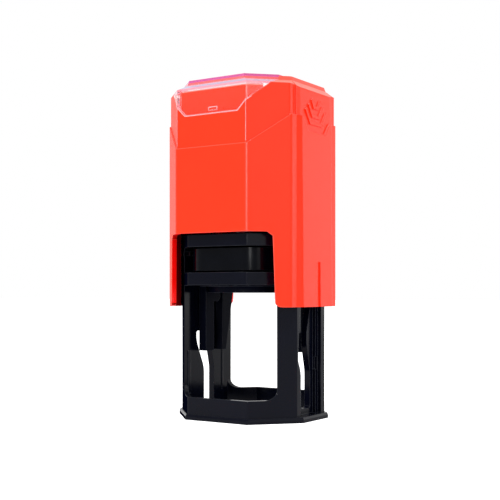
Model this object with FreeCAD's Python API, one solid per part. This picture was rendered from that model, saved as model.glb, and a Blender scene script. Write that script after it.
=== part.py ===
import FreeCAD
import Part

import math
import os
from collections import namedtuple

# Round self-inking stamp for a 30 mm impression, in millimetres.
# X runs across the stamp to its right side panel, Y runs to its back, Z runs up.
# The origin lies on the desk, at the middle of the base.

V = FreeCAD.Vector

# An eight-sided plan outline: half the front flat, half the depth, half the width, half the side flat.
Octagon = namedtuple("Octagon", "front depth width side")

# The rubber die and what carries it
DIE_RADIUS = 15.0
DIE_BASE = 1.0
DIE_RELIEF = 0.7
RELIEF_RING_WIDTH = 0.7
RELIEF_BAR_WIDTH = 1.6
RELIEF_BAR_PITCH = 4.2
RELIEF_BAR_COUNT = 5
CUSHION_THICKNESS = 1.0
CUSHION_MARGIN = 0.1
CARRIER_MARGIN = 0.2
CARRIER_PLATE = 1.2
CARRIER_HUB_RADIUS = 12.7
CARRIER_HUB_HEIGHT = 1.8
CARRIER_HUB_WALL = 1.2
CHEEK_THICKNESS = 2.45
CHEEK_TO_RIM = 0.1
FRONT_PRONG = (-5.4, -1.35)
REAR_PRONG_TOP = (3.2, 8.7)
REAR_PRONG_TIP = (2.9, 4.9)
PRONG_TIP_BELOW_AXLE = 16.3
FORK_ROOT_ABOVE_AXLE = 1.0
AXLE_BOSS_RADIUS = 1.9

# The stroke and the turn of the die
STROKE = 28.35
FACE_STANDOFF = 0.1
FACE_ABOVE_AXLE = 6.4
AXLE_PIN_RADIUS = 0.8
AXLE_RUNNING_GAP = 0.05
AXLE_PIN_SEAT = 1.6
AXLE_PIN_SHY = 0.1

# The frame: legs, base ring and pad housing
LEG_TO_CARRIER = 0.45
LEG_WALL = 1.85
CHANNEL_DEPTH = 2.0
CHANNEL_BACK = 4.4
LEDGE_DEPTH = 1.1
LEDGE_BACK = 5.75
RING_TO_CARRIER = 1.6
RING_WALL = 1.3
FRAME_FRONT_FLAT = 9.9
FRAME_SIDE_FLAT = 7.86
RING_HEIGHT = 6.3
RING_CORNER = 2.6
LOWER_BAND = 3.5
BAND_BELOW_FACE = 0.1
UPPER_BAND = 3.3
HEAD_PLATE = 1.5
FRAME_EDGE_RADIUS = 0.6
POST_RADIUS = 4.4
POST_BORE = 3.2
POST_HEIGHT = 5.75
PUSH_WINDOW_HALF = 6.0
PUSH_WINDOW_RIM = 1.4

# The front edge of the channel down each leg's outer side: places along Y, and heights above the desk
CHANNEL_FRONT = ((-5.7, 12.0), (-7.1, 16.2), (-7.1, 19.5), (-6.7, 25.0), (-6.0, 31.0))

# The guide slot in each leg wall: heights above the desk, and places along Y
SLOT_BOTTOM = 3.1
SLOT_FRONT = -2.2
SLOT_BACK = 2.9
SLOT_BULGE_FRONT = -6.0
SLOT_BULGE_FULL = 21.5
SLOT_BULGE_RISE = 8.0
SLOT_BULGE_LENGTH = 2.85
SLOT_RETURN_RISE = 7.0
SLOT_TOP_GAP = 1.1
SLOT_PIN_GAP = 0.15
SLOT_CORNER_RADIUS = 0.7
SLOT_BEND_RADIUS = 7.0

# The latch notch in the step behind each channel
NOTCH_LOW = 13.85
NOTCH_HIGH = 17.35
NOTCH_WIDTH = 1.0
NOTCH_DEPTH = 0.8

# The two low ribs on the inner face of each leg, from front to back
LEG_RIBS = ((-10.3, -9.1), (6.9, 7.4))
LEG_RIB_PROUD = 0.25
LEG_RIB_TOP = 18.9

# The foot ring that clips round the base
FOOT_HEIGHT = 1.55
FOOT_SOLE = 0.6
FOOT_FRONT_PROUD = 0.5
FOOT_SIDE_PROUD = 1.6
FOOT_FRONT_FLAT = 10.3
FOOT_SIDE_FLAT = 7.1
FOOT_EDGE = 0.6
FOOT_EDGE_RADIUS = 0.7

# The ink cartridge and its pad
CARTRIDGE_ABOVE_FACE = 0.5
CARTRIDGE_TO_LEG = 0.35
CARTRIDGE_HEIGHT = 6.2
CARTRIDGE_PAST_DIE = 0.6
CARTRIDGE_FRONT_FLAT = 9.9
CARTRIDGE_SIDE_FLAT = 7.7
CARTRIDGE_CORNER = 6.0
CARTRIDGE_SIDE_CORNER = 2.0
CARTRIDGE_TOP_WALL = 1.2
CARTRIDGE_TO_BAND = 0.4
PAD_BORE_MARGIN = 0.8
PAD_GAP = 0.1
PAD_CLOTH = 0.3
PAD_TO_DIE_EDGE = 0.3
RAIL_PROUD = 1.05
RAIL_HEIGHT = 1.1
RAIL_BELOW_TOP = 0.6
RAIL_GAP = 0.2
RAIL_FRONT = -11.0
RAIL_BACK = 12.0

# The yoke that ties the casing to the axle pins
ARM_TO_LEG = 0.35
ARM_HALF = 3.0
LINER_TO_FRAME = 0.3
LINER_THICKNESS = 0.65
LINER_HALF = 7.9
LINER_ABOVE_CASING_FOOT = 0.3
LINER_PAST_FRAME = 1.0
UPPER_ARM_SETBACK = 1.0
BRIDGE_THICKNESS = 2.0
BRIDGE_HALF = 8.0
BRIDGE_TO_POST = 0.8
SPRING_CUP_HEIGHT = 2.0
SPRING_CUP_WALL = 1.0
SPRING_CUP_GAP = 0.55
COLLAR_HEIGHT = 2.2
COLLAR_OUTER = 7.0
COLLAR_INNER = 5.0

# The return spring
SPRING_RADIUS = 6.2
SPRING_WIRE = 0.9
SPRING_TURNS = 6
SPRING_SEAT_GAP = 0.05
LEAST_COIL_GAP = 0.4

# The casing
PRESSED_GAP = 1.75
CASING_TO_ARM = 0.15
CASING_TO_FRAME_FRONT = 1.45
CASING_WALL = 1.6
CASING_FRONT_FLAT = 11.75
CASING_SIDE_FLAT = 12.6
SLEEVE_EDGE_RADIUS = 1.8
SLEEVE_SIDE_RADIUS = 1.5
HEAD_FRONT_FLAT = 11.4
HEAD_FRONT_INSET = 0.15
HEAD_EDGE_RADIUS = 0.05
HEAD_SIDE_RADIUS = 1.2
CASING_TOP_WALL = 2.5
UPPER_INSET = 0.55
UPPER_WALL = 2.65
UPPER_CAVITY_BELOW_TOP = 12.4
POCKET_BELOW_CEILING = 1.4
POCKET_HALF = 9.05
POCKET_PAST_LINER = 0.3
PANEL_WALL = 1.2
PANEL_DRAFT = 0.5
PANEL_PROUD = 1.2
PANEL_HALF = 9.9
PANEL_FACE_HALF = 8.3
PANEL_EDGE_RADIUS = 1.1
PANEL_ROOT = 1.4
WINDOW_ABOVE_HEAD = 0.35
WINDOW_TOP_HALF = 16.9
WINDOW_FOOT_HALF = 17.4
WINDOW_CHAMFER = 1.2
WINDOW_FOOT_RADIUS = 1.4
WINDOW_TO_PANEL = 0.3

# Heights on the casing, measured down from the top of the stamp
STEP_FRONT_DROP = 19.2
STEP_SIDE_DROP = 11.1
VEE_BOTTOM_DROP = 14.8
VEE_BOTTOM_HALF = 4.6
VEE_TOP_HALF = 7.6
BEVEL_DROP = 2.8
PANEL_BEVEL_DROP = 3.3
SHOULDER_DROP = 1.55
CROWN_DROP = 0.35
LIP_DROP = 10.35
LIP_HALF = 8.75
LIP_TOP_HALF = 16.2
LIP_TOP_DROP = 3.0

# The crown, set back from the head's faces, and the shoulder round its foot
CROWN_FRONT_FLAT = 9.2
CROWN_FRONT_SETBACK = 2.7
CROWN_SIDE_SETBACK = 1.55
SHOULDER_SPREAD = 0.55

# The groove in the foot of each side panel, from front to back
GROOVE = (-0.2, 1.4)
GROOVE_TOP = 44.1
GROOVE_DEPTH = 0.5

# The grip chevrons on each side panel: half width at the top, drop at the top,
# half width at the bottom, drop at the bottom
CHEVRONS = ((5.7, 8.7, 3.1, 12.35), (4.0, 7.2, 1.85, 10.35), (2.3, 5.7, 1.1, 7.8))
CHEVRON_WIDTH = 0.9
CHEVRON_PROUD = 0.35

# The clear cap and the index card under it
CAP_WALL = 1.05
CAP_GAP = 0.1
CAP_FACE_GAP = 0.35
CAP_TO_CARD = 0.15
CARD_THICKNESS = 0.3
CARD_MARGIN = 0.6
CATCH_HALF = 1.4
CATCH_LOW_DROP = 9.3
CATCH_HIGH_DROP = 8.4
CATCH_PROUD = 0.2

# How far a cutting shape runs past what it cuts
PAST = 1.0

def inset(plan, distance):
    """The same outline with every side moved in by one distance."""
    run = plan.width - plan.front
    rise = plan.depth - plan.side
    length = math.hypot(run, rise)
    across = rise / length
    along = run / length
    reach = across * plan.front + along * plan.depth - distance
    depth = plan.depth - distance
    width = plan.width - distance
    front = (reach - along * depth) / across
    side = (reach - across * width) / along
    return Octagon(front, depth, width, side)


def setback(plan, front_flat, front, side):
    """A smaller outline with parallel sides: its front flat, and how far its fronts and sides move in."""
    depth = plan.depth - front
    width = plan.width - side
    slope = (plan.depth - plan.side) / (plan.width - plan.front)
    return Octagon(front_flat, depth, width, depth - slope * (width - front_flat))


# Places that follow from the sizes above
CARRIER_RADIUS = DIE_RADIUS + CARRIER_MARGIN
CARTRIDGE_DEPTH = DIE_RADIUS + CARTRIDGE_PAST_DIE
AXLE_Z = FACE_STANDOFF + FACE_ABOVE_AXLE + STROKE
FACE_Z = AXLE_Z + FACE_ABOVE_AXLE
DIE_Z = FACE_Z - DIE_RELIEF - DIE_BASE
CUSHION_Z = DIE_Z - CUSHION_THICKNESS
PLATE_Z = CUSHION_Z - CARRIER_PLATE
CHEEK_OUTER = CARRIER_RADIUS - CHEEK_TO_RIM
CHEEK_INNER = CHEEK_OUTER - CHEEK_THICKNESS

LEG_INNER = CARRIER_RADIUS + LEG_TO_CARRIER
LEG_OUTER = LEG_INNER + LEG_WALL
FRAME = Octagon(
    FRAME_FRONT_FLAT,
    CARRIER_RADIUS + RING_TO_CARRIER + RING_WALL,
    LEG_OUTER + CHANNEL_DEPTH,
    FRAME_SIDE_FLAT,
)
BAND_TOP = FACE_Z - BAND_BELOW_FACE
BAND_BOTTOM = BAND_TOP - LOWER_BAND
CARTRIDGE_Z = FACE_Z + CARTRIDGE_ABOVE_FACE
CARTRIDGE_TOP = CARTRIDGE_Z + CARTRIDGE_HEIGHT
UPPER_BAND_Z = CARTRIDGE_TOP + CARTRIDGE_TO_BAND
HEAD_TOP = UPPER_BAND_Z + UPPER_BAND
POST_TOP = HEAD_TOP + POST_HEIGHT

ARM_INNER = LEG_OUTER + ARM_TO_LEG
LINER_INNER = FRAME.width + LINER_TO_FRAME
ARM_OUTER = LINER_INNER + LINER_THICKNESS
BRIDGE_Z = POST_TOP + STROKE + BRIDGE_TO_POST
BRIDGE_TOP = BRIDGE_Z + BRIDGE_THICKNESS
LINER_TOP = HEAD_TOP + STROKE + LINER_PAST_FRAME
UPPER_ARM_OUTER = ARM_OUTER - UPPER_ARM_SETBACK
CEILING = BRIDGE_TOP + COLLAR_HEIGHT
CARD_Z = CEILING + CASING_TOP_WALL
CAP_PLATE_Z = CARD_Z + CARD_THICKNESS + CAP_TO_CARD
TOP = CAP_PLATE_Z + CAP_WALL

CASING_Z = FOOT_HEIGHT + PRESSED_GAP + STROKE
POCKET_OUTER = ARM_OUTER + CASING_TO_ARM
PANEL_OUTER = POCKET_OUTER + PANEL_WALL
CASING = Octagon(
    CASING_FRONT_FLAT,
    FRAME.depth + CASING_TO_FRAME_FRONT + CASING_WALL,
    PANEL_OUTER - PANEL_PROUD,
    CASING_SIDE_FLAT,
)
HEAD = setback(CASING, HEAD_FRONT_FLAT, HEAD_FRONT_INSET, UPPER_INSET)
CROWN = setback(HEAD, CROWN_FRONT_FLAT, CROWN_FRONT_SETBACK, CROWN_SIDE_SETBACK)
SHOULDER = inset(CROWN, -SHOULDER_SPREAD)
WINDOW_TOP = HEAD_TOP + WINDOW_ABOVE_HEAD
WINDOW_REACH = PANEL_HALF + WINDOW_TO_PANEL


def rounded_wire(corners, radii):
    """A closed wire through the corners, each rounded by its own radius."""
    starts = []
    middles = []
    ends = []
    count = len(corners)
    for i, corner in enumerate(corners):
        back = (corners[i - 1] - corner).normalize()
        ahead = (corners[(i + 1) % count] - corner).normalize()
        half_angle = back.getAngle(ahead) / 2
        bisector = (back + ahead).normalize()
        radius = radii[i]
        trim = radius / math.tan(half_angle)
        starts.append(corner + back * trim)
        middles.append(corner + bisector * (radius / math.sin(half_angle) - radius))
        ends.append(corner + ahead * trim)
    edges = []
    for i in range(count):
        if radii[i] > 0:
            edges.append(Part.Arc(starts[i], middles[i], ends[i]).toShape())
        edges.append(Part.makeLine(ends[i], starts[(i + 1) % count]))
    return Part.Wire(edges)


def octagon_wire(plan, z, front_radius=0.0, side_radius=0.0):
    """The outline at a height, its front and back edges and its side edges rounded."""
    a, c, w, s = plan
    places = ((-a, -c), (a, -c), (w, -s), (w, s), (a, c), (-a, c), (-w, s), (-w, -s))
    corners = [V(x, y, z) for x, y in places]
    radii = [front_radius if abs(x) == a else side_radius for x, _ in places]
    return rounded_wire(corners, radii)


def octagon_prism(plan, low, high, front_radius=0.0, side_radius=0.0):
    wire = octagon_wire(plan, low, front_radius, side_radius)
    return Part.Face(wire).extrude(V(0, 0, high - low))


def octagon_taper(plan, low, top_plan, high, front_radius, side_radius):
    lower = octagon_wire(plan, low, front_radius, side_radius)
    upper = octagon_wire(top_plan, high, front_radius, side_radius)
    return Part.makeLoft([lower, upper], True, True)


def box(x0, x1, y0, y1, z0, z1):
    return Part.makeBox(x1 - x0, y1 - y0, z1 - z0, V(x0, y0, z0))


def prism_along_y(points, y0, y1):
    """A solid whose outline is given in X and Z."""
    corners = [V(x, y0, z) for x, z in points]
    return Part.Face(Part.makePolygon(corners + corners[:1])).extrude(V(0, y1 - y0, 0))


def prism_along_x(points, x0, x1):
    """A solid whose outline is given in Y and Z."""
    corners = [V(x0, y, z) for y, z in points]
    return Part.Face(Part.makePolygon(corners + corners[:1])).extrude(V(x1 - x0, 0, 0))


def cylinder(radius, low, high):
    return Part.makeCylinder(radius, high - low, V(0, 0, low))


def cross_cylinder(radius, x0, x1, y, z):
    return Part.makeCylinder(radius, x1 - x0, V(x0, y, z), V(1, 0, 0))


def both_sides(shape):
    """The shape and its mirror image across the middle plane."""
    return shape.fuse(shape.mirror(V(0, 0, 0), V(1, 0, 0)))


def both_ends(shape):
    """The shape and its mirror image from front to back."""
    return shape.fuse(shape.mirror(V(0, 0, 0), V(0, 1, 0)))


def one_solid(shape):
    """The shape with its split faces joined, as one solid."""
    clean = shape.removeSplitter()
    solids = clean.Solids
    if len(solids) != 1:
        raise ValueError("expected one solid, got %d" % len(solids))
    return solids[0]


def stroke_outline(points, width):
    """The closed outline of a line of even width with mitred corners."""
    left = []
    right = []
    last = len(points) - 1
    for i, (y, z) in enumerate(points):
        y0, z0 = points[max(i - 1, 0)]
        y1, z1 = points[min(i + 1, last)]
        before = V(y - y0, z - z0, 0)
        after = V(y1 - y, z1 - z, 0)
        if i == 0:
            before = after
        if i == last:
            after = before
        normal_before = V(-before.y, before.x, 0).normalize()
        normal_after = V(-after.y, after.x, 0).normalize()
        miter = (normal_before + normal_after).normalize()
        reach = width / 2 / miter.dot(normal_before)
        left.append((y + miter.x * reach, z + miter.y * reach))
        right.append((y - miter.x * reach, z - miter.y * reach))
    return left + right[::-1]


def die_edge_rise():
    """How far the edge of the die's face rises above its rest as the die starts to turn."""
    fall = STROKE / math.pi
    reach = math.hypot(DIE_RADIUS, FACE_ABOVE_AXLE)
    turn = math.acos(min(1.0, fall / reach)) - math.atan(FACE_ABOVE_AXLE / DIE_RADIUS)
    turn = max(turn, 0.0)
    lift = FACE_ABOVE_AXLE * (math.cos(turn) - 1) + DIE_RADIUS * math.sin(turn)
    return lift - fall * turn


PAD_Z = FACE_Z + die_edge_rise() + PAD_TO_DIE_EDGE
PAD_TOP = CARTRIDGE_TOP - CARTRIDGE_TOP_WALL
CARTRIDGE = Octagon(
    CARTRIDGE_FRONT_FLAT,
    CARTRIDGE_DEPTH,
    LEG_INNER - CARTRIDGE_TO_LEG,
    CARTRIDGE_SIDE_FLAT,
)
PAD_BORE = CARTRIDGE_DEPTH - PAD_BORE_MARGIN
RAIL_TOP = CARTRIDGE_TOP - RAIL_BELOW_TOP


# Foot ring

def foot_ring():
    plan = Octagon(
        FOOT_FRONT_FLAT,
        FRAME.depth + FOOT_FRONT_PROUD,
        FRAME.width + FOOT_SIDE_PROUD,
        FOOT_SIDE_FLAT,
    )
    shoulder = FOOT_HEIGHT - FOOT_EDGE
    body = octagon_prism(plan, 0, shoulder, FOOT_EDGE_RADIUS, FOOT_EDGE_RADIUS)
    crown = octagon_taper(
        plan, shoulder, inset(plan, FOOT_EDGE / 2), FOOT_HEIGHT, FOOT_EDGE_RADIUS, FOOT_EDGE_RADIUS
    )
    ring = body.fuse(crown)
    ring = ring.cut(octagon_prism(FRAME, FOOT_SOLE, FOOT_HEIGHT + PAST, FRAME_EDGE_RADIUS, FRAME_EDGE_RADIUS))
    return one_solid(ring.cut(base_opening(-PAST, FOOT_HEIGHT)))


def base_opening(low, high):
    """The room inside the base ring, which the die passes through."""
    room = octagon_prism(inset(FRAME, RING_WALL), low, high)
    reach = FRAME.depth
    return room.common(box(-LEG_INNER, LEG_INNER, -reach, reach, low, high))


# Frame

def leg_gap():
    """The open space between the legs, with rounded lower corners, through front and back."""
    low = RING_HEIGHT
    high = BAND_BOTTOM
    reach = FRAME.depth + PAST
    corners = [
        V(-LEG_INNER, -reach, low),
        V(LEG_INNER, -reach, low),
        V(LEG_INNER, -reach, high),
        V(-LEG_INNER, -reach, high),
    ]
    wire = rounded_wire(corners, [RING_CORNER, RING_CORNER, 0.0, 0.0])
    return Part.Face(wire).extrude(V(0, 2 * reach, 0))


def guide_slot():
    """The slot for the axle pin, with its bulge to the front and its waist behind it."""
    waist = AXLE_PIN_RADIUS + SLOT_PIN_GAP
    top = AXLE_Z + AXLE_PIN_RADIUS + SLOT_TOP_GAP
    corner = SLOT_CORNER_RADIUS
    bend = SLOT_BEND_RADIUS
    bulge_low = SLOT_BULGE_FULL - SLOT_BULGE_RISE
    bulge_top = SLOT_BULGE_FULL + SLOT_BULGE_LENGTH
    outline = [
        (SLOT_FRONT, SLOT_BOTTOM, corner),
        (SLOT_BACK, SLOT_BOTTOM, corner),
        (SLOT_BACK, bulge_low, bend),
        (waist, SLOT_BULGE_FULL, bend),
        (waist, bulge_top, bend),
        (SLOT_BACK, bulge_top + SLOT_RETURN_RISE, bend),
        (SLOT_BACK, top, corner),
        (SLOT_FRONT, top, corner),
        (SLOT_FRONT, bulge_top, corner),
        (SLOT_BULGE_FRONT, bulge_top, corner),
        (SLOT_BULGE_FRONT, SLOT_BULGE_FULL, bend),
        (SLOT_FRONT, bulge_low, bend),
    ]
    low = LEG_INNER - PAST
    wire = rounded_wire([V(low, y, z) for y, z, _ in outline], [radius for _, _, radius in outline])
    return Part.Face(wire).extrude(V(FRAME.width + PAST - low, 0, 0))


def cartridge_bay():
    """The room in the head for the cartridge, open to the front."""
    back = FRAME.depth - RING_WALL
    bay = box(-LEG_INNER, LEG_INNER, -FRAME.depth - PAST, back, BAND_TOP, UPPER_BAND_Z)
    above = base_opening(UPPER_BAND_Z, HEAD_TOP - HEAD_PLATE)
    below = base_opening(BAND_BOTTOM, BAND_TOP)
    push_window = box(
        -PUSH_WINDOW_HALF,
        PUSH_WINDOW_HALF,
        0,
        FRAME.depth + PAST,
        BAND_TOP + PUSH_WINDOW_RIM,
        UPPER_BAND_Z - PUSH_WINDOW_RIM,
    )
    rail_reach = CARTRIDGE.width + RAIL_PROUD + RAIL_GAP
    rail_low = RAIL_TOP - RAIL_HEIGHT - RAIL_GAP
    rails = box(
        -rail_reach, rail_reach, -FRAME.depth - PAST, RAIL_BACK + RAIL_GAP, rail_low, RAIL_TOP + RAIL_GAP
    )
    bay = bay.common(octagon_prism(inset(FRAME, RING_WALL), BAND_TOP, UPPER_BAND_Z)).fuse(
        box(-LEG_INNER, LEG_INNER, -FRAME.depth - PAST, 0, BAND_TOP, UPPER_BAND_Z)
    )
    return bay.fuse([above, below, push_window, rails])


def leg_channel():
    """The stepped channel down the outer side of the right leg, with the latch notch in its step."""
    high = HEAD_TOP + PAST
    ledge_floor = FRAME.width - LEDGE_DEPTH
    outline = [(CHANNEL_FRONT[0][0], FOOT_HEIGHT), *CHANNEL_FRONT, (CHANNEL_FRONT[-1][0], high)]
    channel = prism_along_x(
        outline + [(CHANNEL_BACK, high), (CHANNEL_BACK, FOOT_HEIGHT)], LEG_OUTER, FRAME.width + PAST
    )
    ledge = box(ledge_floor, FRAME.width + PAST, 0, LEDGE_BACK, FOOT_HEIGHT, high)
    notch = box(
        ledge_floor - NOTCH_DEPTH, FRAME.width + PAST, 0, CHANNEL_BACK + NOTCH_WIDTH, NOTCH_LOW, NOTCH_HIGH
    )
    return channel.fuse([ledge, notch])


def frame():
    body = octagon_prism(FRAME, FOOT_SOLE, HEAD_TOP, FRAME_EDGE_RADIUS, FRAME_EDGE_RADIUS)
    body = body.cut(base_opening(0, RING_HEIGHT + RING_CORNER + PAST))
    body = body.cut(leg_gap())
    body = body.cut(cartridge_bay())
    body = body.cut(both_sides(leg_channel().fuse(guide_slot())))
    low = LEG_INNER - LEG_RIB_PROUD
    high = LEG_INNER + LEG_RIB_PROUD
    for front, back in LEG_RIBS:
        body = body.fuse(both_sides(box(low, high, front, back, RING_HEIGHT, LEG_RIB_TOP)))
    post = cylinder(POST_RADIUS, HEAD_TOP, POST_TOP).cut(cylinder(POST_BORE, HEAD_TOP, POST_TOP))
    return one_solid(body.fuse(post))


# Die carrier, cushion and die

def die_carrier():
    plate = cylinder(CARRIER_RADIUS, PLATE_Z, CUSHION_Z)
    hub_z = PLATE_Z - CARRIER_HUB_HEIGHT
    hub = cylinder(CARRIER_HUB_RADIUS, hub_z, PLATE_Z)
    hub = hub.cut(cylinder(CARRIER_HUB_RADIUS - CARRIER_HUB_WALL, hub_z, PLATE_Z))
    carrier = plate.fuse([hub, both_sides(cheek())])
    bore = cross_cylinder(AXLE_PIN_RADIUS, CHEEK_OUTER - AXLE_PIN_SEAT, CHEEK_OUTER + PAST, 0, AXLE_Z)
    return one_solid(carrier.cut(both_sides(bore)))


def cheek():
    """One forked cheek: a front prong, a tapered rear prong, and the boss for the axle pin."""
    tip_z = AXLE_Z - PRONG_TIP_BELOW_AXLE
    root_z = AXLE_Z + FORK_ROOT_ABOVE_AXLE
    web = [
        (FRONT_PRONG[0], root_z),
        (REAR_PRONG_TOP[1], root_z),
        (REAR_PRONG_TOP[1], PLATE_Z),
        (FRONT_PRONG[0], PLATE_Z),
    ]
    front = [
        (FRONT_PRONG[0], tip_z),
        (FRONT_PRONG[1], tip_z),
        (FRONT_PRONG[1], root_z),
        (FRONT_PRONG[0], root_z),
    ]
    rear = [
        (REAR_PRONG_TIP[0], tip_z),
        (REAR_PRONG_TIP[1], tip_z),
        (REAR_PRONG_TOP[1], root_z),
        (REAR_PRONG_TOP[0], root_z),
    ]
    slabs = [prism_along_x(outline, CHEEK_INNER, CHEEK_OUTER) for outline in (web, front, rear)]
    boss = cross_cylinder(AXLE_BOSS_RADIUS, CHEEK_INNER, CHEEK_OUTER, 0, AXLE_Z)
    return slabs[0].fuse([slabs[1], slabs[2], boss])


def axle_pin():
    """The right axle pin, pressed into its cheek and running in the yoke's arm."""
    return cross_cylinder(
        AXLE_PIN_RADIUS, CHEEK_OUTER - AXLE_PIN_SEAT, ARM_OUTER - AXLE_PIN_SHY, 0, AXLE_Z
    )


def foam_cushion():
    return cylinder(DIE_RADIUS - CUSHION_MARGIN, CUSHION_Z, DIE_Z)


def ring_between(outer, inner, low, high):
    return cylinder(outer, low, high).cut(cylinder(inner, low, high))


def rubber_die():
    """The rubber plate with a generic relief: a double ring round a few plain bars."""
    base_top = DIE_Z + DIE_BASE
    die = cylinder(DIE_RADIUS, DIE_Z, base_top)
    outer_ring = ring_between(DIE_RADIUS, DIE_RADIUS - RELIEF_RING_WIDTH, base_top, FACE_Z)
    inner_radius = DIE_RADIUS - 3 * RELIEF_RING_WIDTH
    inner_ring = ring_between(inner_radius, inner_radius - RELIEF_RING_WIDTH, base_top, FACE_Z)
    field = cylinder(inner_radius - 3 * RELIEF_RING_WIDTH, base_top, FACE_Z)
    first = -(RELIEF_BAR_COUNT - 1) / 2 * RELIEF_BAR_PITCH
    bars = []
    for i in range(RELIEF_BAR_COUNT):
        y = first + i * RELIEF_BAR_PITCH
        half = RELIEF_BAR_WIDTH / 2
        bar = box(-DIE_RADIUS, DIE_RADIUS, y - half, y + half, base_top, FACE_Z)
        bars.append(bar.common(field))
    return one_solid(die.fuse([outer_ring, inner_ring] + bars))


# Cartridge and pad

def cartridge_tray():
    tray = octagon_prism(CARTRIDGE, CARTRIDGE_Z, CARTRIDGE_TOP, CARTRIDGE_CORNER, CARTRIDGE_SIDE_CORNER)
    rail = box(
        CARTRIDGE.width - PAST,
        CARTRIDGE.width + RAIL_PROUD,
        RAIL_FRONT,
        RAIL_BACK,
        RAIL_TOP - RAIL_HEIGHT,
        RAIL_TOP,
    )
    tray = tray.fuse(both_sides(rail))
    return one_solid(tray.cut(cylinder(PAD_BORE, CARTRIDGE_Z, PAD_TOP)))


def pad_cloth():
    return cylinder(PAD_BORE - PAD_GAP, PAD_Z, PAD_Z + PAD_CLOTH)


def ink_pad():
    return cylinder(PAD_BORE - PAD_GAP, PAD_Z + PAD_CLOTH, PAD_TOP)


# Yoke

def yoke():
    """Two arms that end in the axle's eyes, each with a thin liner plate, and the bridge between them."""
    arm = box(ARM_INNER, ARM_OUTER, -ARM_HALF, ARM_HALF, AXLE_Z, LINER_TOP)
    upper_arm = box(ARM_INNER, UPPER_ARM_OUTER, -ARM_HALF, ARM_HALF, LINER_TOP, BRIDGE_TOP)
    liner = box(
        LINER_INNER,
        ARM_OUTER,
        -LINER_HALF,
        LINER_HALF,
        CASING_Z + LINER_ABOVE_CASING_FOOT,
        LINER_TOP,
    )
    arm = arm.fuse([cross_cylinder(ARM_HALF, ARM_INNER, ARM_OUTER, 0, AXLE_Z), liner, upper_arm])
    eye = cross_cylinder(AXLE_PIN_RADIUS + AXLE_RUNNING_GAP, ARM_INNER, ARM_OUTER, 0, AXLE_Z)
    arms = both_sides(arm.cut(eye))
    bridge = box(
        -UPPER_ARM_OUTER, UPPER_ARM_OUTER, -BRIDGE_HALF, BRIDGE_HALF, BRIDGE_Z, BRIDGE_TOP
    )
    cup_inner = SPRING_RADIUS + SPRING_WIRE / 2 + SPRING_CUP_GAP
    cup = ring_between(cup_inner + SPRING_CUP_WALL, cup_inner, BRIDGE_Z - SPRING_CUP_HEIGHT, BRIDGE_Z)
    collar = ring_between(COLLAR_OUTER, COLLAR_INNER, BRIDGE_TOP, CEILING)
    return one_solid(arms.fuse([bridge, cup, collar]))


# Return spring

def helix_point(angle, low, rise_per_turn):
    height = low + rise_per_turn * angle / (2 * math.pi)
    return V(SPRING_RADIUS * math.cos(angle), SPRING_RADIUS * math.sin(angle), height)


def helix_heading(angle, rise_per_turn):
    slope = rise_per_turn / (2 * math.pi)
    return V(-SPRING_RADIUS * math.sin(angle), SPRING_RADIUS * math.cos(angle), slope).normalize()


def arc_from(start, corner, end):
    """The arc that leaves start towards corner and reaches end coming from corner."""
    weight = (end - start).Length / (2 * (corner - start).Length)
    middle = (start + corner * (2 * weight) + end) * (1 / (2 + 2 * weight))
    return Part.Arc(start, middle, end).toShape()


def biarc(start, heading, end, end_heading):
    """Two tangent arcs from one point and heading to another."""
    chord = end - start
    headings = heading + end_heading
    a = 2 * (1 - heading.dot(end_heading))
    b = 2 * chord.dot(headings)
    c = -chord.dot(chord)
    reach = (-b + math.sqrt(b * b - 4 * a * c)) / (2 * a)
    first = start + heading * reach
    second = end - end_heading * reach
    joint = (first + second) * 0.5
    return [arc_from(start, first, joint), arc_from(joint, second, end)]


def least_coil_gap(low, rise_per_turn):
    """The least clear gap between the wire and any other turn of it, measured on points."""
    steps = 48
    count = SPRING_TURNS * steps
    points = [helix_point(i * 2 * math.pi / steps, low, rise_per_turn) for i in range(count + 1)]
    least = min(
        (points[j] - points[i]).Length
        for i in range(count + 1)
        for j in range(i + steps // 2, min(count + 1, i + 2 * steps))
    )
    return least - SPRING_WIRE


def return_spring():
    low = HEAD_TOP + SPRING_WIRE / 2 + SPRING_SEAT_GAP
    high = BRIDGE_Z - SPRING_WIRE / 2 - SPRING_SEAT_GAP
    rise_per_turn = (high - low) / SPRING_TURNS
    quarter = math.pi / 2
    edges = []
    for i in range(SPRING_TURNS * 4):
        a0 = i * quarter
        a1 = a0 + quarter
        edges += biarc(
            helix_point(a0, low, rise_per_turn),
            helix_heading(a0, rise_per_turn),
            helix_point(a1, low, rise_per_turn),
            helix_heading(a1, rise_per_turn),
        )
    path = Part.Wire(edges)
    start = helix_point(0, low, rise_per_turn)
    section = Part.Wire(Part.makeCircle(SPRING_WIRE / 2, start, helix_heading(0, rise_per_turn)))
    spring = path.makePipeShell([section], True, False)
    gap = least_coil_gap(low, rise_per_turn)
    pressed = BRIDGE_Z - STROKE - HEAD_TOP
    print("return spring: least gap to itself %.2f mm, volume %.1f, section times length %.1f" % (
        gap, spring.Volume, math.pi * SPRING_WIRE**2 / 4 * path.Length))
    print("return spring: %.1f mm of wire in %.1f mm when pressed" % (
        (SPRING_TURNS + 1) * SPRING_WIRE, pressed))
    if gap < LEAST_COIL_GAP:
        raise ValueError("the spring's turns lie too close")
    return spring


# Casing

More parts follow.
